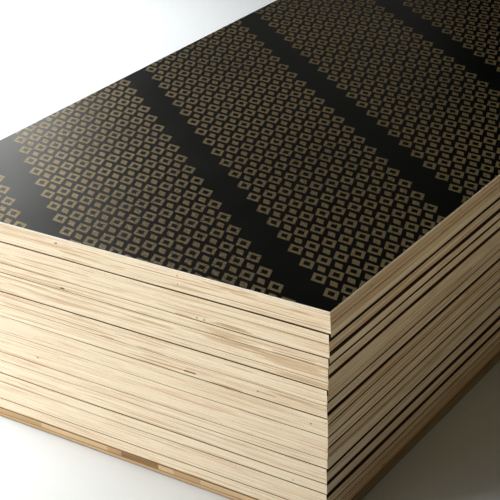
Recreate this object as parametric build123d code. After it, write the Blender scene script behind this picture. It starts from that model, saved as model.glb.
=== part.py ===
from build123d import *
import os

# Stack of film-faced plywood sheets lying flat on one base board, in millimetres.
# X runs along the short side of the sheets, Y along the long side and Z up.
# The origin is at the middle of the underside of the whole stack.

# Sheets: one standard size, glued up as one piece each
sheet_length = 2440.0
sheet_width = 1220.0
sheet_thickness = 27.0
sheet_count = 19

# Base board: a plain packing board of the sheets' length and width
board_thickness = 27.0

# Sharp sawn corners are broken by a small bevel, or arris, along each face
sheet_arris = 1.0
board_arris = 1.0

# How far each layer lies from the one above it, along X and Y, from the top down.
# The stack leans a little, because the sheets were laid by hand.
layer_steps = [
    (-0.5, 1.0),
    (-3.5, -3.0),
    (-0.5, 0.5),
    (-2.0, -1.5),
    (-1.0, -1.0),
    (-1.0, 0.5),
    (-2.5, -2.0),
    (-0.5, -1.0),
    (1.0, -1.0),
    (-0.5, 0.5),
    (-0.5, -1.0),
    (-2.0, 0.5),
    (-0.5, -1.5),
    (-2.0, -1.0),
    (-0.5, -0.5),
    (-1.0, -1.0),
    (-0.5, 0.5),
    (-0.5, -1.0),
    (0.5, -1.0),
]


def layer_places():
    """The middle of each layer in plan, from the top sheet down to the base board."""
    places = [(0.0, 0.0)]
    for level in range(sheet_count):
        step_x, step_y = layer_steps[level % len(layer_steps)]
        above_x, above_y = places[-1]
        places.append((above_x + step_x, above_y + step_y))
    middle_x = (min(x for x, y in places) + max(x for x, y in places)) / 2
    middle_y = (min(y for x, y in places) + max(y for x, y in places)) / 2
    return [(x - middle_x, y - middle_y) for x, y in places]


def flat_board(thickness, arris, place, underside):
    """A flat rectangular board with a small bevel round its top and bottom faces."""
    board = Box(
        sheet_width,
        sheet_length,
        thickness,
        align=(Align.CENTER, Align.CENTER, Align.MIN),
    )
    face_edges = board.faces().sort_by(Axis.Z)[0].edges() + board.faces().sort_by(Axis.Z)[-1].edges()
    board = chamfer(face_edges, arris)
    return Pos(place[0], place[1], underside) * board


def write_stack():
    """Write the base board and each sheet, which are numbered from the bottom up."""
    os.makedirs("parts", exist_ok=True)
    places = layer_places()
    export_step(flat_board(board_thickness, board_arris, places[-1], 0.0), "parts/base_board.step")
    for number in range(1, sheet_count + 1):
        underside = board_thickness + (number - 1) * sheet_thickness
        place = places[sheet_count - number]
        sheet = flat_board(sheet_thickness, sheet_arris, place, underside)
        export_step(sheet, f"parts/plywood_sheet_{number:02d}.step")


write_stack()
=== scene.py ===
"""Looks of a stack of film-faced plywood sheets on a base board.

Metres; X runs along the short side of the sheets, Y along the long one and Z up.
"""
import math
import random

import bpy
from mathutils import Matrix, Vector
from mathutils.geometry import delaunay_2d_cdt


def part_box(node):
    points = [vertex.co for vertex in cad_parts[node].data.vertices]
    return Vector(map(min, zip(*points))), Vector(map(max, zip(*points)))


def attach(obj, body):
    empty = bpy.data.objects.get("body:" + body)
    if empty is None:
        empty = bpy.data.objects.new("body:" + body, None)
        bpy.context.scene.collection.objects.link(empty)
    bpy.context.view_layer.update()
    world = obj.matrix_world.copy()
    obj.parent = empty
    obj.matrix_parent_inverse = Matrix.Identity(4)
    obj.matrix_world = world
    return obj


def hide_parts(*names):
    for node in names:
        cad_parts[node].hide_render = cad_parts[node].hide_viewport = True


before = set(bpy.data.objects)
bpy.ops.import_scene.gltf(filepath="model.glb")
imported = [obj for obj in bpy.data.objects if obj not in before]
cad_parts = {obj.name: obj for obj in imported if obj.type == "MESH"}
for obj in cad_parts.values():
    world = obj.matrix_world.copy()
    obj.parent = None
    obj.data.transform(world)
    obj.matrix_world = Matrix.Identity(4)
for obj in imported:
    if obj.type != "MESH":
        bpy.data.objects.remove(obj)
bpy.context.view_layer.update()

MM = 0.001

# The stack, read from the frame: layer 1 is the top sheet and the last layer is the base board
SHEETS = sorted((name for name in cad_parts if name.startswith("plywood_sheet")), reverse=True)
BOARD = "base_board"
LAYERS = SHEETS + [BOARD]

# Section of a sheet's edge
PLY_COUNT = 9
GLUE_LINE = 0.22 * MM          # on the front and back sides
LONG_GLUE_LINE = 0.42 * MM     # and on the two long sides
TOP_ARRIS = 1.7 * MM           # bevel round the top of the top sheet, which handling has worn
SAWN_ARRIS = 0.25 * MM         # and along every other face
EDGE_STEP = 0.012              # spacing of the points along an edge
RIM_WIDTH = 0.030              # outer strip of a face that shows, in shadow, through a seam
CAP_MARGIN = 0.09              # how far in a sheet is flat again behind its wavy edge
SLOT_DEPTH = 7 * MM            # depth of a core gap
SLOT_RAMP = 0.5 * MM           # length of the slope at each end of one
PLY_INSET = 0.12 * MM          # a ply lies this far inside the sheet's outline,
PLY_RELIEF = 0.35              # up to this much further in all the way round, in millimetres,
PLY_DRIFT = 0.12 * MM          # and up to this much in or out from place to place
PLY_DRIFT_SPACING = 0.09
GLUE_WAVE = 0.30 * MM          # how far a glue line strays up or down
GLUE_WAVE_SPACING = 0.12
OUT_OF_SQUARE = 0.8            # how far in a corner may lie along X, in millimetres
OUT_OF_SQUARE_Y = 0.6          # and along Y, as a share of that

# Seams between layers, counted from the top: how wide the gap looks, in millimetres,
# at the start, middle and end of the front side (left to right) and the right side (near to far)
NARROW = 0.05                  # the least, and that of a seam that isn't listed
FRONT_GAPS = {
    1: (0.1, 0.3, 0.4), 2: (0.9, 0.9, 2.0), 3: (0.2, 0.1, 0.9), 4: (0.1, 0.1, 2.0), 5: (0.7, 0.9, 0.3),
    6: (0.1, 0.3, 1.6), 7: (1.6, 1.4, 1.5), 8: (0.4, 0.1, 0.4), 9: (0.1, 0.6, 2.0), 11: (0.1, 0.1, 1.2),
    12: (0.1, 0.1, 0.6), 14: (0.1, 0.1, 1.6), 15: (1.9, 2.1, 1.8), 16: (0.1, 0.2, 2.4),
    18: (0.9, 0.9, 1.2), 19: (1.2, 1.2, 1.4),
}
RIGHT_GAPS = {
    1: (1.8, 1.6, 1.8), 2: (7.6, 8.8, 8.4), 3: (10.5, 12.2, 12.0), 4: (7.0, 7.0, 6.8), 5: (9.6, 10.6, 10.0),
    6: (0.5, 0.3, 0.1), 7: (1.2, 2.2, 1.0), 8: (4.6, 2.2, 2.4), 9: (8.2, 5.0, 5.5), 10: (4.2, 2.0, 1.8),
    11: (4.2, 4.0, 3.6), 12: (4.6, 4.6, 4.4), 13: (2.4, 1.8, 1.0), 14: (8.0, 8.8, 8.4),
    15: (11.0, 12.0, 11.4), 16: (11.5, 11.5, 11.5), 17: (4.0, 2.4, 2.0), 18: (1.8, 1.8, 1.8),
    19: (2.4, 2.4, 2.4),
}
# A layer that overhangs the one below hides part of a gap from above: the share of the overhang, by side
HIDDEN_SHARE = (0.61, 0.87, 0.61, 0.87)
WIDE_GAP = 1.5                 # in millimetres; the overhang counts in full from this gap on
# How far each seam rises (+) or sags (-) at the edge of the front and of the right side, in millimetres
FRONT_RISE = (3, 3, 6, 1, 5, -2, 7, -4, -7, 0, 2, 2, 0, 5, -7, -6, -2, 0, 0)
RIGHT_RISE = (-1, -9, -16, -14, -15, -9, -4, 3.5, 4, 4.5, 1.5, 2.5, 6, 0, -6, -10, -11, -1, 0)
FRONT_RISE_LEFT = 0.6          # share of it that is left at the front's left end
RIGHT_RISE_FAR = 0.5           # and at the right side's far end
BACK_SHIFT = 6                 # the back has the front's seams, each from this many further down
LEFT_SHIFT = 9                 # and the left side has those of the right side
SEAM_WAVE = 0.6                # how far a seam strays besides, in millimetres
SEAM_WAVE_SPACING = 0.35
SEAM_WAVE_FADE = 12            # it dies away over one part in this many of a side, at either end
GAP_CHANGE = (0.35, 0.12, 0.35, 0.12)    # how much a gap widens or narrows from place to place, by side
GAP_CHANGE_SPACING = 0.16
CORNER_STEP = 0.4 * MM         # length over which two sides' seams meet at a corner
CORNER_RELIEF = 0.3 * MM       # deepest relief of a ply there
FINEST_STEP = 0.02 * MM        # points along an edge are no nearer to each other than this
LONGEST_SIDE = 2.5             # what wanders along a side is worked out for this length
TINY = 1e-6                    # two lengths are the same if they differ by less

# Camera: where it sees the near top corner of the stack, and how it is turned
CORNER_RIGHT = 0.15879
CORNER_BELOW = 0.12374
CORNER_AHEAD = 3.04795
CAMERA_AZIMUTH = math.radians(35.76)
CAMERA_ELEVATION = math.radians(26.52)
CAMERA_ROLL = math.radians(-3.40)
IMAGE_SIZE = 500               # in pixels, each way
FOCAL_LENGTH = 1542.5          # in pixels too
FIELD_OF_VIEW = 2 * math.atan(IMAGE_SIZE / 2 / FOCAL_LENGTH)

# Seeds of the random draws
SEAM_SEED = 700
SHEET_SEED = 100
BOARD_SEED = 31


# Small helpers

def wander(rng, spacing, amount):
    """A smooth random function of the distance along a side, between -amount and amount."""
    knots = [rng.uniform(-amount, amount) for _ in range(int(LONGEST_SIDE / spacing) + 3)]

    def value(distance):
        first = int(distance / spacing)
        part = distance / spacing - first
        part = part * part * (3 - 2 * part)
        return knots[first] * (1 - part) + knots[first + 1] * part

    return value


def wander_round(rng, spacing, amount):
    """One such function for each of the four sides."""
    return [wander(rng, spacing, amount) for _ in range(4)]


def three_point(values, share):
    """Straight lines through three values at the start, middle and end."""
    low, middle, high = values
    if share < 0.5:
        return low + (middle - low) * share * 2
    return middle + (high - middle) * (share - 0.5) * 2


def side_lengths(low, high):
    """Lengths of the front, right, back and left sides."""
    return (high.x - low.x, high.y - low.y) * 2


# Materials

class Tree:
    """A small wrapper that adds and links the nodes of one material."""

    def __init__(self, name):
        self.material = bpy.data.materials.new(name)
        self.material.use_nodes = True
        self.nodes = self.material.node_tree.nodes
        self.links = self.material.node_tree.links
        self.shader = self.nodes["Principled BSDF"]
        self.place = self.nodes.new("ShaderNodeTexCoord").outputs["Object"]

    def feed(self, socket, value):
        """Links a socket to a node's output, or sets it to a number or a colour."""
        if isinstance(value, bpy.types.NodeSocket):
            self.links.new(value, socket)
        else:
            socket.default_value = value if isinstance(value, float) else (*value, 1.0)

    def noise(self, scale, detail=2.0, roughness=0.5):
        """Noise in object coordinates, with so many waves a metre along X, Y and Z."""
        mapping = self.nodes.new("ShaderNodeMapping")
        mapping.inputs["Scale"].default_value = scale
        self.feed(mapping.inputs["Vector"], self.place)
        node = self.nodes.new("ShaderNodeTexNoise")
        node.inputs["Scale"].default_value = 1.0
        node.inputs["Detail"].default_value = detail
        node.inputs["Roughness"].default_value = roughness
        self.feed(node.inputs["Vector"], mapping.outputs["Vector"])
        return node.outputs["Fac"]

    def attribute(self, name):
        node = self.nodes.new("ShaderNodeAttribute")
        node.attribute_name = name
        return node.outputs["Fac"]

    def ramp(self, factor, stops):
        """A colour by a factor, from stops of a position and a colour each."""
        node = self.nodes.new("ShaderNodeValToRGB")
        elements = node.color_ramp.elements
        while len(elements) < len(stops):
            elements.new(0.5)
        for element, (position, color) in zip(elements, stops):
            element.position = position
            element.color = (*color, 1.0)
        self.feed(node.inputs["Fac"], factor)
        return node.outputs["Color"]

    def mix(self, factor, first, second):
        """The first colour where the factor is 0 and the second where it is 1."""
        node = self.nodes.new("ShaderNodeMix")
        node.data_type = "RGBA"
        sockets = [s for s in node.inputs if s.enabled and s.type == "RGBA"]
        self.feed(node.inputs["Factor"], factor)
        self.feed(sockets[0], first)
        self.feed(sockets[1], second)
        return next(s for s in node.outputs if s.enabled and s.type == "RGBA")

    def math(self, operation, first, second):
        node = self.nodes.new("ShaderNodeMath")
        node.operation = operation
        self.feed(node.inputs[0], first)
        self.feed(node.inputs[1], second)
        return node.outputs["Value"]

    def blend(self, first, second, share):
        """The first value by its share, and the second by the rest."""
        part = self.math("MULTIPLY", first, share)
        return self.math("ADD", part, self.math("MULTIPLY", second, 1 - share))

    def spread(self, value, low, high, to_low=0.0, to_high=1.0):
        """Stretches the range from low to high over the range from to_low to to_high."""
        node = self.nodes.new("ShaderNodeMapRange")
        node.inputs["From Min"].default_value = low
        node.inputs["From Max"].default_value = high
        node.inputs["To Min"].default_value = to_low
        node.inputs["To Max"].default_value = to_high
        self.feed(node.inputs["Value"], value)
        return node.outputs["Result"]

    def bump(self, height, distance, strength):
        node = self.nodes.new("ShaderNodeBump")
        node.inputs["Distance"].default_value = distance
        node.inputs["Strength"].default_value = strength
        self.feed(node.inputs["Height"], height)
        self.feed(self.shader.inputs["Normal"], node.outputs["Normal"])

    def surface(self, color, roughness, specular):
        """Finishes the material."""
        self.feed(self.shader.inputs["Base Color"], color)
        self.feed(self.shader.inputs["Roughness"], roughness)
        self.shader.inputs["Specular IOR Level"].default_value = specular
        return self.material


# Colours of the plies
CREAM = (0.745, 0.672, 0.528)
CREAM_STRAW = (0.735, 0.648, 0.49)
STRAW = (0.675, 0.56, 0.398)
END_PALE = (0.747, 0.657, 0.503)
END_STRAW = (0.70, 0.597, 0.43)
END_TAN = (0.60, 0.463, 0.303)
TAN = (0.43, 0.29, 0.165)
# Painted shade inside a core gap
CORE_GAP_SHADE = (0.20, 0.115, 0.05)
ROSY = (0.70, 0.50, 0.36)
RUSSET = (0.52, 0.335, 0.205)
GLUE_PALE = (0.695, 0.58, 0.415)
GLUE_DARK = (0.36, 0.225, 0.105)
# Deepest painted shade inside a core gap
CORE_GAP_SHADE_DEEP = (0.10, 0.055, 0.022)
# Colours of the top sheet's bevel: worn wood, made paler still as a painted highlight
PALE_WEAR_AND_HIGHLIGHT = (0.90, 0.86, 0.77)
WEAR_AND_HIGHLIGHT = (0.83, 0.77, 0.66)

# Colours of the film and of the ink on it
FILM_BLACK = (0.0022, 0.0023, 0.0018)
FILM_CLOUD = (0.0042, 0.0042, 0.0032)
INK_DARK = (0.29, 0.20, 0.078)
INK_BRONZE = (0.455, 0.33, 0.142)
INK_PALE = (0.60, 0.45, 0.215)
INK_WORN = (0.05, 0.038, 0.02)

# Colours of the floor
FLOOR_DULL = (0.905, 0.945, 0.96)
FLOOR_BRIGHT = (0.935, 0.97, 0.98)


def wood_color(tree, tone, shades):
    """Colour of a ply: the shades by its fine tone, browner where its own tone is dark, rosy in patches."""
    color = tree.ramp(tone, shades)
    band = tree.noise((2.2, 2.2, 190))
    color = tree.mix(tree.spread(band, 0.50, 0.72, to_high=0.50), color, STRAW)
    patch = tree.noise((1.6, 1.6, 110), detail=1.5)
    color = tree.mix(tree.spread(patch, 0.56, 0.74, to_high=0.45), color, ROSY)
    smudge = tree.noise((6, 6, 380))
    color = tree.mix(tree.spread(smudge, 0.56, 0.68, to_high=0.76), color, RUSSET)
    return tree.mix(tree.spread(tree.attribute("tone"), 0.10, 1.0), color, TAN)


def long_grain():
    """A ply cut along its grain: soft streaks that run with the edge."""
    tree = Tree("ply_long_grain")
    fine = tree.noise((30, 30, 1000), detail=3.0, roughness=0.7)
    broad = tree.noise((2.2, 2.2, 320))
    tone = tree.spread(tree.blend(fine, broad, 0.6), 0.36, 0.66)
    tone = tree.math("ADD", tone, tree.attribute("tone"))
    color = wood_color(tree, tone, ((0.0, CREAM), (0.5, CREAM_STRAW), (1.0, STRAW)))
    tree.bump(fine, distance=0.5 * MM, strength=0.8)
    return tree.surface(color, roughness=0.72, specular=0.25)


def end_grain():
    """A ply cut across its grain: duller, with fine pores."""
    tree = Tree("ply_end_grain")
    pores = tree.noise((300, 300, 480), detail=3.0, roughness=0.7)
    broad = tree.noise((4, 4, 420))
    tone = tree.spread(tree.blend(pores, broad, 0.7), 0.36, 0.68)
    tone = tree.math("ADD", tone, tree.attribute("tone"))
    color = wood_color(tree, tone, ((0.0, END_PALE), (0.6, END_STRAW), (1.0, END_TAN)))
    tree.bump(pores, distance=0.8 * MM, strength=0.9)
    return tree.surface(color, roughness=0.82, specular=0.15)


def glue_line():
    """The line between two plies, dark only in places."""
    tree = Tree("glue_line")
    broken = tree.noise((7, 7, 60))
    dark = tree.math("ADD", tree.spread(broken, 0.42, 0.64), tree.attribute("tone"))
    color = tree.mix(dark, GLUE_PALE, GLUE_DARK)
    return tree.surface(color, roughness=0.7, specular=0.2)


def arris_wear_and_highlight():
    """The broken edge of the top sheet, paler than the plies: worn wood in part, and in part a painted
    highlight on the bevel.
    """
    tree = Tree("arris_wear_and_highlight")
    color = tree.mix(tree.noise((30, 30, 30)), PALE_WEAR_AND_HIGHLIGHT, WEAR_AND_HIGHLIGHT)
    return tree.surface(color, roughness=0.6, specular=0.3)


def film_rim(name, dark, light):
    """The outer strip of the film, where it shows through a seam: painted brown in place of the film's
    black, as shade in the seam.
    """
    tree = Tree(name)
    color = tree.mix(tree.noise((60, 60, 60)), dark, light)
    return tree.surface(color, roughness=0.85, specular=0.05)


def core_gap():
    """The inside of a core gap, painted dark brown for the shade in the recess."""
    tree = Tree("core_gap")
    color = tree.mix(tree.noise((80, 80, 80)), CORE_GAP_SHADE_DEEP, CORE_GAP_SHADE)
    return tree.surface(color, roughness=0.9, specular=0.1)


def film():
    """Dark resin film with a soft sheen, faint clouds and a finely pebbled surface."""
    tree = Tree("phenolic_film")
    cloud = tree.noise((9, 9, 9), detail=3.0)
    speck = tree.noise((420, 420, 420))
    color = tree.mix(cloud, FILM_BLACK, FILM_CLOUD)
    rough = tree.spread(cloud, 0.15, 0.85, to_low=0.27, to_high=0.34)
    tree.bump(speck, distance=0.04 * MM, strength=0.5)
    return tree.surface(color, rough, specular=0.37)


def print_ink():
    """Bronze print, mottled where the film took it unevenly."""
    tree = Tree("bronze_print")
    mottle = tree.noise((150, 150, 150), detail=3.0, roughness=0.65)
    fade = tree.noise((2.2, 2.2, 2.2))
    color = tree.ramp(mottle, ((0.25, INK_DARK), (0.5, INK_BRONZE), (0.75, INK_PALE)))
    worn = tree.math("MULTIPLY", tree.spread(mottle, 0.55, 0.30), tree.spread(fade, 0.35, 0.65))
    color = tree.mix(worn, color, INK_WORN)
    tree.bump(mottle, distance=0.05 * MM, strength=0.5)
    tree.shader.inputs["Metallic"].default_value = 0.6
    return tree.surface(color, roughness=0.48, specular=0.4)


def board_wood(name, light, dark):
    """A part of the base board's edge in one brown: a block's own colour, and on the right side and the
    foot a painted shade.
    """
    tree = Tree(name)
    streak = tree.noise((12, 12, 700), detail=3.0, roughness=0.6)
    broad = tree.noise((5, 5, 120))
    tone = tree.spread(tree.blend(streak, broad, 0.5), 0.33, 0.68)
    tree.bump(streak, distance=0.4 * MM, strength=0.6)
    return tree.surface(tree.mix(tone, light, dark), roughness=0.75, specular=0.2)


def pale_floor():
    tree = Tree("pale_floor")
    color = tree.mix(tree.noise((1.3, 1.3, 1.3)), FLOOR_DULL, FLOOR_BRIGHT)
    return tree.surface(color, roughness=0.6, specular=0.3)


# Plan of a layer's edge

class Rim:
    """Points round the edge of a layer: front side from the left, then right, back and left sides.

    The cuts are stretches that need points of their own: a side, a start, a length and what is there.
    """

    def __init__(self, low, high, rng, cuts):
        corners = [(low.x, low.y), (high.x, low.y), (high.x, high.y), (low.x, high.y)]
        middle = ((low.x + high.x) / 2, (low.y + high.y) / 2)
        for number, (x, y) in enumerate(corners):
            inward = rng.uniform(0.0, OUT_OF_SQUARE) * MM
            x -= math.copysign(inward, x - middle[0])
            y -= math.copysign(inward * OUT_OF_SQUARE_Y, y - middle[1])
            corners[number] = (x, y)
        normals = [(0, -1), (1, 0), (0, 1), (-1, 0)]
        self.side, self.along, self.share = [], [], []
        self.x, self.y, self.out_x, self.out_y = [], [], [], []
        self.length, self.corner = [], []
        for side in range(4):
            start, end = corners[side], corners[(side + 1) % 4]
            length = math.dist(start, end)
            self.length.append(length)
            self.corner.append(len(self.x))
            for place in self.places(side, length, cuts):
                share = place / length
                before = normals[side - 1] if place == 0 else (0, 0)
                self.side.append(side)
                self.along.append(place)
                self.share.append(share)
                self.x.append(start[0] + (end[0] - start[0]) * share)
                self.y.append(start[1] + (end[1] - start[1]) * share)
                self.out_x.append(normals[side][0] + before[0])
                self.out_y.append(normals[side][1] + before[1])
        self.count = len(self.x)

    @staticmethod
    def places(side, length, cuts):
        """Distances along a side of its points, from its first corner on."""
        count = round(length / EDGE_STEP)
        places = [length * i / count for i in range(count)] + [CORNER_STEP, length - CORNER_STEP]
        for where, start, extent, _ in cuts:
            if where == side:
                places += (start - SLOT_RAMP, start, start + extent, start + extent + SLOT_RAMP)
        places = sorted(p for p in places if 0 <= p < length - CORNER_STEP / 2)
        return [p for i, p in enumerate(places) if i == 0 or p - places[i - 1] > FINEST_STEP]

    def spot(self, column):
        """Side of a column, its distance along it and the side's length."""
        side = self.side[column]
        return side, self.along[column], self.length[side]

    def point(self, column, inset, height):
        """A point of a column, set in from the edge."""
        x = self.x[column] - self.out_x[column] * inset
        y = self.y[column] - self.out_y[column] * inset
        return (x, y, height)

    def to_corner(self, column):
        """How far a column is from the nearer end of its side."""
        return min(self.along[column], self.length[self.side[column]] - self.along[column])

    def owner(self, column, inset):
        """The column whose point is used: the corner's, where a loop set in that far has turned already."""
        if self.to_corner(column) >= inset:
            return column
        side = self.side[column]
        if self.along[column] > self.length[side] / 2:
            side = (side + 1) % 4
        return self.corner[side]


# Seams

def side_value(front, right, seam, side, share):
    """A seam's value along a side; the two hidden sides repeat the seen ones in another order."""
    last = len(FRONT_RISE)
    if side == 0:
        return three_point(front(seam), share)
    if side == 1:
        return three_point(right(seam), share)
    if side == 2:
        return three_point(front((seam - 1 + BACK_SHIFT) % last + 1), share)
    return three_point(right((seam - 1 + LEFT_SHIFT) % last + 1), share)


def gap_front(seam):
    return FRONT_GAPS.get(seam, (NARROW, NARROW, NARROW))


def gap_right(seam):
    return RIGHT_GAPS.get(seam, (NARROW, NARROW, NARROW))


def rise_front(seam):
    rise = FRONT_RISE[seam - 1]
    return (rise * FRONT_RISE_LEFT, rise, rise)


def rise_right(seam):
    rise = RIGHT_RISE[seam - 1]
    return (rise, rise, rise * RIGHT_RISE_FAR)


def overhangs(seam):
    """How far the layer above a seam overhangs the one below it on each side, in millimetres."""
    if seam == 0 or seam == len(LAYERS):
        return (0.0, 0.0, 0.0, 0.0)
    upper_low, upper_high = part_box(LAYERS[seam - 1])
    lower_low, lower_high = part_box(LAYERS[seam])
    steps = (
        lower_low.y - upper_low.y,
        upper_high.x - lower_high.x,
        upper_high.y - lower_high.y,
        lower_low.x - upper_low.x,
    )
    return tuple(max(0.0, step / MM) for step in steps)


class Seam:
    """The meeting of two layers: its height off nominal, and its gap, all the way round."""

    def __init__(self, number):
        self.number = number
        self.overhang = overhangs(number)
        self.flat = number == 0 or number == len(LAYERS)
        rng = random.Random(SEAM_SEED + number)
        self.wave = wander_round(rng, SEAM_WAVE_SPACING, SEAM_WAVE)
        self.change = [wander(rng, GAP_CHANGE_SPACING, amount) for amount in GAP_CHANGE]

    def lips(self, side, along, length):
        """Heights, off nominal, of the underside above the seam and of the top below it."""
        if self.flat:
            return 0.0, 0.0
        share = along / length
        at_corner = along == 0
        if at_corner:
            side, share = (side + 3) % 4, 1.0
        rise = side_value(rise_front, rise_right, self.number, side, share)
        gap = NARROW if at_corner else side_value(gap_front, gap_right, self.number, side, share)
        near_end = min(along, length - along) / length
        rise += self.wave[side](along) * min(1.0, near_end * SEAM_WAVE_FADE)
        gap = max(NARROW, gap * (1 + self.change[side](along)))
        hidden = self.overhang[side] * HIDDEN_SHARE[side] * min(1.0, gap / WIDE_GAP)
        return (rise + gap / 2) * MM, (rise - gap / 2 - hidden) * MM

    def undersides(self, rim, height):
        """Heights of the underside above the seam, column by column."""
        return [height + self.lips(*rim.spot(column))[0] for column in range(rim.count)]

    def tops(self, rim, height):
        """Heights of the top below the seam, column by column."""
        return [height + self.lips(*rim.spot(column))[1] for column in range(rim.count)]


# Meshes

class Skin:
    """Collects the points and faces of one layer.

    Insets, heights, tones and slots are one value each, or one for each column.
    """

    def __init__(self, rim):
        self.rim = rim
        self.points, self.tones, self.faces, self.slots = [], [], [], []

    def each(self, value):
        return value if isinstance(value, list) else [value] * self.rim.count

    def loop(self, insets, heights, tones=0.0):
        """Adds a closed loop of points round the rim, and returns the point of each column."""
        insets, heights, tones = self.each(insets), self.each(heights), self.each(tones)
        owners = [self.rim.owner(column, inset) for column, inset in enumerate(insets)]
        point_of = {}
        for column in sorted(set(owners)):
            point_of[column] = len(self.points)
            self.points.append(self.rim.point(column, insets[column], heights[column]))
            self.tones.append(tones[column])
        return [point_of[owner] for owner in owners]

    def face(self, ring, slot):
        """Adds a face, without the points that come twice in a row."""
        ring = [point for i, point in enumerate(ring) if point != ring[i - 1]]
        if len(ring) > 2:
            self.faces.append(ring)
            self.slots.append(slot)

    def band(self, lower, upper, slots, between=None):
        """Joins two loops; between holds more points that lie on the upper one, after each column."""
        slots = self.each(slots)
        for column in range(self.rim.count):
            after = (column + 1) % self.rim.count
            more = between[column][::-1] if between else []
            self.face([lower[column], lower[after], upper[after], *more, upper[column]], slots[column])

    def lid(self, loop, slot, upward):
        """Closes a loop with one flat face."""
        self.face(loop if upward else loop[::-1], slot)

    def make(self, name, materials):
        """Makes the object."""
        mesh = bpy.data.meshes.new(name)
        mesh.from_pydata(self.points, [], self.faces)
        mesh.polygons.foreach_set("material_index", self.slots)
        for material in materials:
            mesh.materials.append(material)
        tone = mesh.attributes.new("tone", "FLOAT", "POINT")
        tone.data.foreach_set("value", self.tones)
        mesh.update()
        piece = bpy.data.objects.new(name, mesh)
        bpy.context.collection.objects.link(piece)
        return piece


# Sheets

# Material slots, in the order in which build_stack lists the materials of a sheet
LONG, END, GLUE, GAP, ARRIS, RIM, SEAM_SHADE_BROWN, FILM, INK = range(9)

# Core gaps and browner streaks of the front: layer, ply from the bottom, start and length, in metres
FRONT_HOLES = (
    (1, 3, 0.500, 0.006), (1, 4, 0.838, 0.003), (2, 5, 0.837, 0.002), (5, 1, 0.509, 0.012),
    (4, 1, 0.888, 0.003), (4, 1, 0.907, 0.003), (9, 2, 0.854, 0.031), (11, 7, 1.176, 0.003),
    (16, 2, 1.132, 0.003), (9, 4, 1.046, 0.003), (7, 3, 0.150, 0.004), (13, 5, 0.420, 0.003),
)
FRONT_STREAKS = (
    (2, 6, 0.506, 0.076), (5, 2, 1.077, 0.116), (5, 0, 1.077, 0.116), (9, 2, 0.693, 0.190),
    (9, 4, 1.046, 0.053), (10, 8, 0.960, 0.020), (1, 5, 0.900, 0.110), (4, 1, 0.920, 0.120),
    (4, 2, 0.940, 0.080), (6, 6, 0.180, 0.300), (5, 3, 0.100, 0.420), (12, 4, 0.250, 0.260),
)
STREAK_DEPTH = 1.0             # how brown they are, from 0 to 1

# Tan patches of the front: layer, lowest and highest ply, start and length
FRONT_PATCHES = (
    (1, 2, 5, 0.920, 0.080), (5, 1, 4, 0.880, 0.130), (6, 6, 8, 0.900, 0.120), (6, 2, 6, 1.030, 0.150),
    (7, 1, 6, 1.060, 0.180), (9, 5, 7, 1.100, 0.100),
)
PATCH_DEPTH = 0.55             # how brown they are
PATCH_STAGGER = 0.025          # how much further on one starts, from one ply to the next, in threes

# How dark the plies are: each has a tone of its own, which drifts, and some have browner stretches
PLY_TONES = (-0.20, 0.16)
RIGHT_PLY_TONES = (-0.36, 0.62)          # added on the right side
TONE_DRIFT = 0.22
TONE_DRIFT_SPACING = 0.20
STRETCH_COUNTS = (0, 1, 1, 2, 3, 4)      # on a side of a ply
STRETCH_LENGTHS = (0.05, 0.09, 0.15, 0.24, 0.40)
STRETCH_DEPTHS = (0.2, 0.85)
STRETCH_EARLIEST = -0.1                  # some begin before the side does

# How brown each sheet's right side is besides, from the top down
RIGHT_TONES = (
    0.40, 0.16, 0.06, -0.16, -0.20, 0.05, 0.10, 0.12, 0.02, 0.10,
    -0.04, 0.05, 0.10, -0.04, 0.02, -0.18, 0.12, 0.36, 0.62,
)

# The front is more even in colour at its far end, and on the lower sheets: share of the tones kept
FAR_CALM = 0.65
LOW_CALM = 0.6
CALM_BELOW = 10                          # the last sheet that keeps them in full

# Core gaps of the other sides: how many on a short side, how long, how near the corners and in which plies
HOLE_COUNTS = (0, 0, 1, 1, 2)
HOLE_LENGTHS = (0.003, 0.004, 0.008, 0.020)
HOLE_MARGINS = (0.05, 0.12)
SHORT_SIDE_HOLES = (1, 3, 5, 7)
LONG_SIDE_HOLES = (2, 4, 6)


def brown_stretches(rng, rim, layer, ply):
    """Browner stretches of a ply, as a side, start, length and depth each."""
    stretches = []
    for at, where, start, size in FRONT_STREAKS:
        if (at, where) == (layer, ply):
            stretches.append((0, start, size, STREAK_DEPTH))
    for at, lowest, highest, start, size in FRONT_PATCHES:
        if at == layer and lowest <= ply <= highest:
            stretches.append((0, start + PATCH_STAGGER * (ply % 3), size, PATCH_DEPTH))
    for side in range(4):
        for _ in range(rng.choice(STRETCH_COUNTS)):
            size = rng.choice(STRETCH_LENGTHS)
            start = rng.uniform(STRETCH_EARLIEST, rim.length[side])
            stretches.append((side, start, size, rng.uniform(*STRETCH_DEPTHS)))
    return stretches


def ply_tones(rng, rim, layer, ply):
    """How dark one ply is, column by column."""
    drift = wander_round(rng, TONE_DRIFT_SPACING, TONE_DRIFT)
    base = rng.uniform(*PLY_TONES)
    base_right = rng.uniform(*RIGHT_PLY_TONES) + RIGHT_TONES[layer - 1]
    stretches = brown_stretches(rng, rim, layer, ply)
    tones = []
    for column in range(rim.count):
        side, along = rim.side[column], rim.along[column]
        tone = base + drift[side](along) + (base_right if side == 1 else 0.0)
        for where, start, size, depth in stretches:
            if where == side and start < along < start + size:
                tone = max(tone, depth * math.sin(math.pi * (along - start) / size) ** 0.5)
        if side == 0:
            tone *= FAR_CALM + (1 - FAR_CALM) * rim.share[column]
            tone *= LOW_CALM if layer > CALM_BELOW else 1.0
        tones.append(tone)
    return tones


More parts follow.
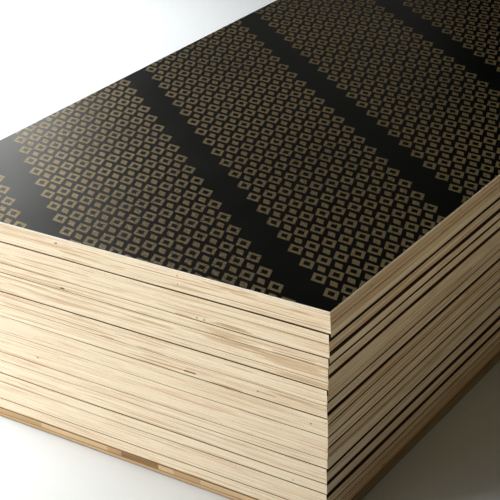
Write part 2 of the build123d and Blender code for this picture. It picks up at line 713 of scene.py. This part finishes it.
def core_gaps(rng, lengths, layer):
    """Small holes in the plies: (side, start, length, ply); those of the front are listed."""
    cuts = [(0, start, size, ply) for at, ply, start, size in FRONT_HOLES if at == layer]
    for side in (1, 2, 3):
        is_long = side % 2 == 1
        for _ in range(rng.choice(HOLE_COUNTS) * (2 if is_long else 1)):
            ply = rng.choice(LONG_SIDE_HOLES if is_long else SHORT_SIDE_HOLES)
            start = rng.uniform(HOLE_MARGINS[0], lengths[side] - HOLE_MARGINS[1])
            cuts.append((side, start, rng.choice(HOLE_LENGTHS), ply))
    return cuts


def ply_insets(rng, rim, cuts, ply, relief):
    """How far a ply is set in, column by column, and the columns that a core gap cuts."""
    drift = wander_round(rng, PLY_DRIFT_SPACING, PLY_DRIFT)
    insets = []
    cut_columns = set()
    for column in range(rim.count):
        side, along = rim.side[column], rim.along[column]
        inset = relief + PLY_INSET
        if along > 0:
            inset += drift[side](along)
        for where, start, extent, cut_ply in cuts:
            if (where, cut_ply) == (side, ply) and start - TINY <= along <= start + extent + TINY:
                inset += SLOT_DEPTH
                cut_columns.add(column)
        if rim.to_corner(column) < 2 * CORNER_STEP:
            inset = min(inset, CORNER_RELIEF)
        insets.append(max(0.0, inset))
    return insets, cut_columns


def ply_heights(rim, bottom, top, waves, ply):
    """Heights of a ply's lower and upper edges, column by column; glue lines lie between the plies."""
    lows, highs = [], []
    for column in range(rim.count):
        side, along = rim.side[column], rim.along[column]
        half_glue = (LONG_GLUE_LINE if side % 2 else GLUE_LINE) / 2
        thickness = (top[column] - bottom[column]) / PLY_COUNT
        low = bottom[column] + thickness * ply
        high = bottom[column] + thickness * (ply + 1)
        if along > 0 and ply > 0:
            low += waves[ply][side](along)
        if along > 0 and ply < PLY_COUNT - 1:
            high += waves[ply + 1][side](along)
        lows.append(low + (half_glue if ply > 0 else 0.0))
        highs.append(high - (half_glue if ply < PLY_COUNT - 1 else 0.0))
    return lows, highs


def ply_slots(rim, ply, cut_columns):
    """Slots of a ply, column by column: core gap, or the grain as that side shows it."""
    runs_along_y = ply % 2 == 0
    slots = []
    for column in range(rim.count):
        on_short_side = rim.side[column] % 2 == 0
        grain = END if on_short_side == runs_along_y else LONG
        slots.append(GAP if column in cut_columns and column + 1 in cut_columns else grain)
    return slots


def rim_heights(edge, face):
    """Heights at the inner end of the outer strip, on the slope from the edge to the flat face."""
    share = RIM_WIDTH / CAP_MARGIN
    return [face * share + height * (1 - share) for height in edge]


def build_sheet(layer, node, seams, materials):
    """One sheet: plies with their own relief, core gaps, bevels, and film on both faces."""
    low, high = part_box(node)
    rng = random.Random(SHEET_SEED + layer)
    cuts = core_gaps(rng, side_lengths(low, high), layer)
    rim = Rim(low, high, rng, cuts)
    # The outer strip takes painted seam shade: brown on the front and back, darker brown on the two long
    # sides.
    rim_slots = [SEAM_SHADE_BROWN if side % 2 == 0 else RIM for side in rim.side]
    top_arris = TOP_ARRIS if layer == 1 else SAWN_ARRIS
    top = seams[layer - 1].tops(rim, high.z)
    bottom = seams[layer].undersides(rim, low.z)
    skin = Skin(rim)
    lower_lid = skin.loop(CAP_MARGIN, low.z)
    skin.lid(lower_lid, FILM, upward=False)
    lower_rim = skin.loop(RIM_WIDTH, rim_heights(bottom, low.z))
    skin.band(lower_lid, lower_rim, FILM)
    previous = skin.loop(SAWN_ARRIS, bottom)
    skin.band(lower_rim, previous, rim_slots)
    ply_bottom = [height + SAWN_ARRIS for height in bottom]
    ply_top = [height - top_arris for height in top]
    waves = [wander_round(rng, GLUE_WAVE_SPACING, GLUE_WAVE) for _ in range(PLY_COUNT + 1)]
    relief = [rng.uniform(0.0, PLY_RELIEF) * MM for _ in range(PLY_COUNT)]
    for ply in range(PLY_COUNT):
        tones = ply_tones(rng, rim, layer, ply)
        insets, cut_columns = ply_insets(rng, rim, cuts, ply, relief[ply])
        lows, highs = ply_heights(rim, ply_bottom, ply_top, waves, ply)
        lower = skin.loop(insets, lows, tones)
        skin.band(previous, lower, GLUE if ply > 0 else END)
        upper = skin.loop(insets, highs, tones)
        skin.band(lower, upper, ply_slots(rim, ply, cut_columns))
        previous = upper
    arris = skin.loop(top_arris, top)
    if layer == 1:
        between = cover_with_print(skin, arris, high.z, low, high)
        # The bevel round the top sheet takes the pale colour, in part a painted highlight.
        skin.band(previous, arris, ARRIS, between)
    else:
        skin.band(previous, arris, END)
        upper_rim = skin.loop(RIM_WIDTH, rim_heights(top, high.z))
        skin.band(arris, upper_rim, rim_slots)
        upper_lid = skin.loop(CAP_MARGIN, high.z)
        skin.band(upper_rim, upper_lid, FILM)
        skin.lid(upper_lid, FILM, upward=True)
    piece = skin.make(f"dressed_{node}", materials)
    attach(piece, "root")
    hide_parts(node)


# Print on the top film: diagonal bands of staggered lozenges with plain strips between them

BAND_TURN = math.radians(-38.0)     # direction in which the bands run, from +X
BAND_ALONG = Vector((math.cos(BAND_TURN), math.sin(BAND_TURN)))
BAND_ACROSS = Vector((-math.sin(BAND_TURN), math.cos(BAND_TURN)))
BAND_PITCH = 0.440
BAND_PLAIN = 0.056                  # plain strip between two bands
BAND_SHIFT = 0.010                  # moves all bands sideways
BANDS_EACH_WAY = 8                  # counted from the near corner, enough to cover the sheet
ROW_PITCH = 0.073                   # between rows, along a band
LOZENGES_ACROSS = 10
LOZENGE_STROKE = 0.0080
LARGE_HALF = (0.0295, 0.0182)       # half its length along the band, and half its width across it
SMALL_HALF = (0.0185, 0.0095)
PRINT_MARGIN = 0.04                 # a lozenge may touch the sheet if its middle is this near
INSIDE_ONLY = 1                     # the kind of triangulation that leaves out what no outline holds


def lozenge(centre, half_along, half_across):
    """Four corners of a lozenge, anticlockwise, in plan."""
    return [
        centre + BAND_ALONG * half_along,
        centre + BAND_ACROSS * half_across,
        centre - BAND_ALONG * half_along,
        centre - BAND_ACROSS * half_across,
    ]


def motif(centre, large):
    """Closed outlines of one mark of the print: a large hollow lozenge or a small solid one."""
    if not large:
        return [lozenge(centre, *SMALL_HALF)]
    long_half, wide_half = LARGE_HALF
    slim = LOZENGE_STROKE / math.sin(math.atan2(wide_half, long_half))
    share = (long_half - slim) / long_half
    return [lozenge(centre, size * long_half, size * wide_half) for size in (1.0, share)]


def print_outlines(low, high):
    """Every mark whose outline may touch the sheet."""
    near = Vector((high.x, low.y))
    rows = int(math.dist(low[:2], high[:2]) / ROW_PITCH)
    step = (BAND_PITCH - BAND_PLAIN) / LOZENGES_ACROSS
    outlines = []
    for band in range(-BANDS_EACH_WAY, BANDS_EACH_WAY + 1):
        for half_row in range(-2 * rows, 2 * rows):
            large = half_row % 2 == 0
            for place in range(LOZENGES_ACROSS if large else LOZENGES_ACROSS - 1):
                side = BAND_SHIFT + band * BAND_PITCH + (place + (0.5 if large else 1.0)) * step
                centre = near + BAND_ALONG * (half_row * ROW_PITCH / 2) + BAND_ACROSS * side
                inside_x = low.x - PRINT_MARGIN < centre.x < high.x + PRINT_MARGIN
                inside_y = low.y - PRINT_MARGIN < centre.y < high.y + PRINT_MARGIN
                if inside_x and inside_y:
                    outlines += motif(centre, large)
    return outlines


def points_between(loop, faces):
    """For each column of a loop round some faces: the points of their edge before its next column."""
    steps = {(a, b) for face in faces for a, b in zip(face, face[1:] + face[:1])}
    onward = {a: b for a, b in steps if (b, a) not in steps}
    between = []
    for column, here in enumerate(loop):
        end = loop[(column + 1) % len(loop)]
        chain = []
        while here != end and onward[here] != end:
            here = onward[here]
            chain.append(here)
        between.append(chain)
    return between


def cover_with_print(skin, loop, height, low, high):
    """Fills the top of the sheet with flat triangles, cut along the outlines of the print.

    Returns the points that the print adds on the loop, by column.
    """
    edge = sorted(set(loop))
    coords = [Vector(skin.points[point][:2]) for point in edge]
    outlines = [list(range(len(edge)))]
    for shape in print_outlines(low, high):
        outlines.append(list(range(len(coords), len(coords) + len(shape))))
        coords += shape
    points, _, triangles, origins, _, owners = delaunay_2d_cdt(coords, [], outlines, INSIDE_ONLY, TINY)
    index = {}
    for i, origin in enumerate(origins):
        shared = [o for o in origin if o < len(edge)]
        if shared:
            index[i] = edge[shared[0]]
    cover = []
    for triangle, owner in zip(triangles, owners):
        if 0 not in owner:
            continue
        for i in triangle:
            if i not in index:
                index[i] = len(skin.points)
                skin.points.append((points[i].x, points[i].y, height))
                skin.tones.append(0.0)
        cover.append([index[i] for i in triangle])
        skin.face(cover[-1], INK if len(owner) % 2 == 0 else FILM)
    return points_between(loop, cover)


# Base board

# Material slots, in the order in which build_stack lists the materials of the board
BOARD_TAN, BOARD_PALE, BOARD_DARK, BOARD_FACE, BOARD_LOW, BOARD_FOOT_SHADE, BOARD_RIGHT_SHADE = range(7)

# Layers of its edge from below: height of the top in millimetres, and slot (None: the blocks). The foot is
# painted shade where the board meets the floor, and the thin face on top is a dark glue line with painted
# shade under the sheets.
BOARD_LEVELS = ((3.5, BOARD_FOOT_SHADE), (10.0, BOARD_LOW), (12.5, BOARD_FACE), (25.5, None), (27.0, BOARD_FACE))
BOARD_BEVEL = 1.0 * MM              # height of the bevel at the top and bottom
BOARD_TOP_INSET = 1.5 * MM          # how far that sets the top in
BOARD_FOOT_INSET = 1.2 * MM         # and the underside
BOARD_JOINT = 0.15 * MM             # half the slope between two layers of the edge
BOARD_RELIEF = (0.1, 0.38)          # how far a layer or block lies inside the outline, in millimetres
SHORT_SIDE_BLOCKS = (0.07, 0.21)    # lengths of the blocks, from and to
LONG_SIDE_BLOCKS = (0.5, 0.95)
BLOCK_SHADES = (BOARD_TAN, BOARD_TAN, BOARD_PALE)
DARK_BLOCK = (0.659, 0.108)         # the darkest block on the front: where it starts and how long it is


def board_blocks(rng, lengths):
    """The blocks in the edge of the board, as a side, start, length and slot each."""
    blocks = []
    for side in range(4):
        start = 0.0
        while start < lengths[side]:
            size = rng.uniform(*(SHORT_SIDE_BLOCKS if side % 2 == 0 else LONG_SIDE_BLOCKS))
            # The whole right side takes painted shade, darker than the blocks elsewhere
            shade = BOARD_RIGHT_SHADE if side == 1 else rng.choice(BLOCK_SHADES)
            blocks.append((side, start, size, shade))
            start += size
    blocks.append((0, *DARK_BLOCK, BOARD_DARK))
    return blocks


def block_slots(rim, blocks):
    """Slot of the block at each column."""
    slots = []
    for column in range(rim.count):
        side, along = rim.side[column], rim.along[column]
        found = BOARD_TAN
        for where, start, size, slot in blocks:
            if where == side and start - TINY <= along < start + size - TINY:
                found = slot
        slots.append(found)
    return slots


def build_board(node, seams, materials):
    """The base board: blocks of several browns between a thin face above and layers below; its right side
    is painted shade.
    """
    low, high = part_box(node)
    rng = random.Random(BOARD_SEED)
    blocks = board_blocks(rng, side_lengths(low, high))
    rim = Rim(low, high, rng, blocks)
    block_at = block_slots(rim, blocks)
    top = seams[-2].tops(rim, high.z)

    def level(height):
        """A height on the board, scaled to its wavy top, column by column."""
        return [low.z + height * (edge - low.z) / (high.z - low.z) for edge in top]

    skin = Skin(rim)
    previous = skin.loop(BOARD_FOOT_INSET, low.z)
    skin.lid(previous, BOARD_FOOT_SHADE, upward=False)
    start = BOARD_BEVEL
    joint_slot = BOARD_FOOT_SHADE
    for level_top, level_slot in BOARD_LEVELS:
        slots = []
        insets = []
        relief = {}
        for column, side in enumerate(rim.side):
            in_block = level_slot is None
            # the right side keeps its painted shade at every level
            slots.append(block_at[column] if in_block or side == 1 else level_slot)
            key = (side, block_at[column] if in_block else 0)
            insets.append(relief.setdefault(key, rng.uniform(*BOARD_RELIEF) * MM))
        is_last = level_top == BOARD_LEVELS[-1][0]
        lower = skin.loop(insets, level(start))
        skin.band(previous, lower, joint_slot)
        upper = skin.loop(insets, level(level_top * MM - (BOARD_BEVEL if is_last else BOARD_JOINT)))
        skin.band(lower, upper, slots)
        previous = upper
        start = level_top * MM + BOARD_JOINT
        joint_slot = BOARD_FACE
    arris = skin.loop(BOARD_TOP_INSET, top)
    skin.band(previous, arris, BOARD_FACE)
    lid = skin.loop(CAP_MARGIN, high.z)
    skin.band(arris, lid, BOARD_FACE)
    skin.lid(lid, BOARD_FACE, upward=True)
    piece = skin.make("dressed_base_board", materials)
    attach(piece, "root")
    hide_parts(node)


def build_stack():
    seams = [Seam(number) for number in range(len(LAYERS) + 1)]
    sheet_materials = [
        long_grain(),
        end_grain(),
        glue_line(),
        core_gap(),
        arris_wear_and_highlight(),
        # Painted seam shade on the film's outer strip: darker on the long sides, brown on the front and
        # back.
        film_rim("film_rim", dark=(0.048, 0.022, 0.010), light=(0.076, 0.038, 0.017)),
        film_rim("brown_seam_shade_rim", dark=(0.17, 0.09, 0.035), light=(0.27, 0.15, 0.06)),
        film(),
        print_ink(),
    ]
    for layer, node in enumerate(SHEETS, start=1):
        build_sheet(layer, node, seams, sheet_materials)
    board_materials = [
        board_wood("board_tan", light=(0.50, 0.345, 0.185), dark=(0.32, 0.205, 0.10)),
        board_wood("board_pale", light=(0.60, 0.45, 0.275), dark=(0.45, 0.315, 0.17)),
        board_wood("board_dark", light=(0.29, 0.175, 0.08), dark=(0.15, 0.085, 0.035)),
        # Dark glue line; where it tops the edge, also painted shade under the sheets
        board_wood("board_face", light=(0.34, 0.205, 0.10), dark=(0.17, 0.095, 0.04)),
        board_wood("board_low", light=(0.56, 0.40, 0.235), dark=(0.36, 0.24, 0.125)),
        # Painted shade along the foot, where the board meets the floor
        board_wood("board_foot_shade", light=(0.30, 0.25, 0.19), dark=(0.17, 0.14, 0.10)),
        # Painted shade for the board's right side
        board_wood("board_right_shade", light=(0.29, 0.205, 0.115), dark=(0.135, 0.094, 0.05)),
    ]
    build_board(BOARD, seams, board_materials)


# Camera, floor and lights

SENSOR_WIDTH = 36.0                 # of the camera, in millimetres
VIEW_REACH = 100.0
FLOOR_REACH = 40.0                  # from the middle of the floor to each side


def add_camera():
    low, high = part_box(SHEETS[0])
    corner = Vector((high.x, low.y, high.z))
    azimuth, elevation = -CAMERA_AZIMUTH, CAMERA_ELEVATION
    ahead = Vector((
        math.sin(azimuth) * math.cos(elevation),
        math.cos(azimuth) * math.cos(elevation),
        -math.sin(elevation),
    ))
    right = Vector((math.cos(azimuth), -math.sin(azimuth), 0.0))
    up = right.cross(ahead)
    rolled_right = right * math.cos(CAMERA_ROLL) + up * math.sin(CAMERA_ROLL)
    rolled_up = up * math.cos(CAMERA_ROLL) - right * math.sin(CAMERA_ROLL)
    place = corner - rolled_right * CORNER_RIGHT + rolled_up * CORNER_BELOW - ahead * CORNER_AHEAD
    data = bpy.data.cameras.new("camera")
    data.sensor_width = SENSOR_WIDTH
    data.lens = SENSOR_WIDTH / 2 / math.tan(FIELD_OF_VIEW / 2)
    data.clip_end = VIEW_REACH
    camera = bpy.data.objects.new("camera", data)
    bpy.context.collection.objects.link(camera)
    turn = Matrix((rolled_right, rolled_up, -ahead)).transposed()
    camera.matrix_world = Matrix.Translation(place) @ turn.to_4x4()
    bpy.context.scene.camera = camera


def add_floor():
    reach = FLOOR_REACH
    corners = [(-reach, -reach, 0), (reach, -reach, 0), (reach, reach, 0), (-reach, reach, 0)]
    mesh = bpy.data.meshes.new("floor")
    mesh.from_pydata(corners, [], [(0, 1, 2, 3)])
    mesh.materials.append(pale_floor())
    floor = bpy.data.objects.new("floor", mesh)
    bpy.context.collection.objects.link(floor)


def add_light(name, place, target, size, power, color, spread=180):
    """A rectangular light at a place, turned to its target, with its spread in degrees."""
    data = bpy.data.lights.new(name, "AREA")
    data.shape = "RECTANGLE"
    data.size, data.size_y = size
    data.energy = power
    data.color = color
    data.spread = math.radians(spread)
    light = bpy.data.objects.new(name, data)
    light.location = place
    light.rotation_mode = "QUATERNION"
    light.rotation_quaternion = (Vector(target) - Vector(place)).to_track_quat("-Z", "Y")
    bpy.context.collection.objects.link(light)


def add_lights():
    """Strong lights on the front, windows that shine on the film, and weak ones for the rest."""
    add_light("key", (-3.5, -6.0, 1.3), (0.0, -1.2, 0.3), (1.6, 1.2), 255.0, (1.0, 0.975, 0.945))
    add_light("key_right", (-1.5, -6.5, 1.3), (0.0, -1.2, 0.3), (2.2, 1.2), 41.0, (1.0, 0.97, 0.93))
    add_light("front_left", (-2.4, -1.9, 0.95), (-0.1, -0.9, 0.5), (0.8, 0.4), 16.0, (0.90, 1.0, 1.2))
    add_light("grazing", (-1.6, -1.25, 0.95), (0.2, -1.0, 0.5), (0.6, 0.35), 22.0, (0.92, 1.0, 1.12))
    add_light("window", (-4.8, 2.8, 1.3), (-1.0, 0.2, 0.4), (1.4, 1.0), 67.0, (1.0, 1.0, 0.97), 160)
    add_light("far_window", (-3.3, 4.5, 2.0), (-0.5, 0.2, 0.3), (2.0, 1.2), 0.95, (1.0, 0.98, 0.88))
    add_light("side_fill", (2.8, -3.1, 1.3), (0.6, -0.2, 0.45), (1.6, 0.8), 4.2, (1.0, 0.97, 0.78))
    add_light("low_fill", (3.0, -3.0, 0.78), (0.6, -0.7, 0.72), (1.4, 0.3), 1.6, (1.0, 0.80, 0.50), 34)
    add_light("edge_light", (1.5, -0.55, 1.5), (0.62, -0.55, 0.52), (2.0, 0.1), 0.14, (0.84, 1.0, 1.0), 22)
    add_light("back_fill", (3.0, 4.5, 1.0), (0.0, 1.0, 0.3), (2.0, 1.2), 5.5, (0.93, 0.96, 0.76))
    add_light("floor_light", (-2.2, 0.8, 1.6), (-2.2, 0.8, 0.0), (1.6, 2.0), 11.5, (1.0, 1.0, 1.0), 80)
    left = (-0.6, -2.2)
    add_light("left_floor_light", (*left, 1.3), (*left, 0.0), (1.2, 0.6), 8.4, (1.0, 0.94, 0.79), 80)


def darken_backdrop():
    """Leaves the light to the lamps."""
    world = bpy.data.worlds.new("world")
    world.use_nodes = True
    world.node_tree.nodes["Background"].inputs["Strength"].default_value = 0.0
    bpy.context.scene.world = world


build_stack()
add_floor()
add_lights()
darken_backdrop()
add_camera()
bpy.context.scene.view_settings.view_transform = "Standard"
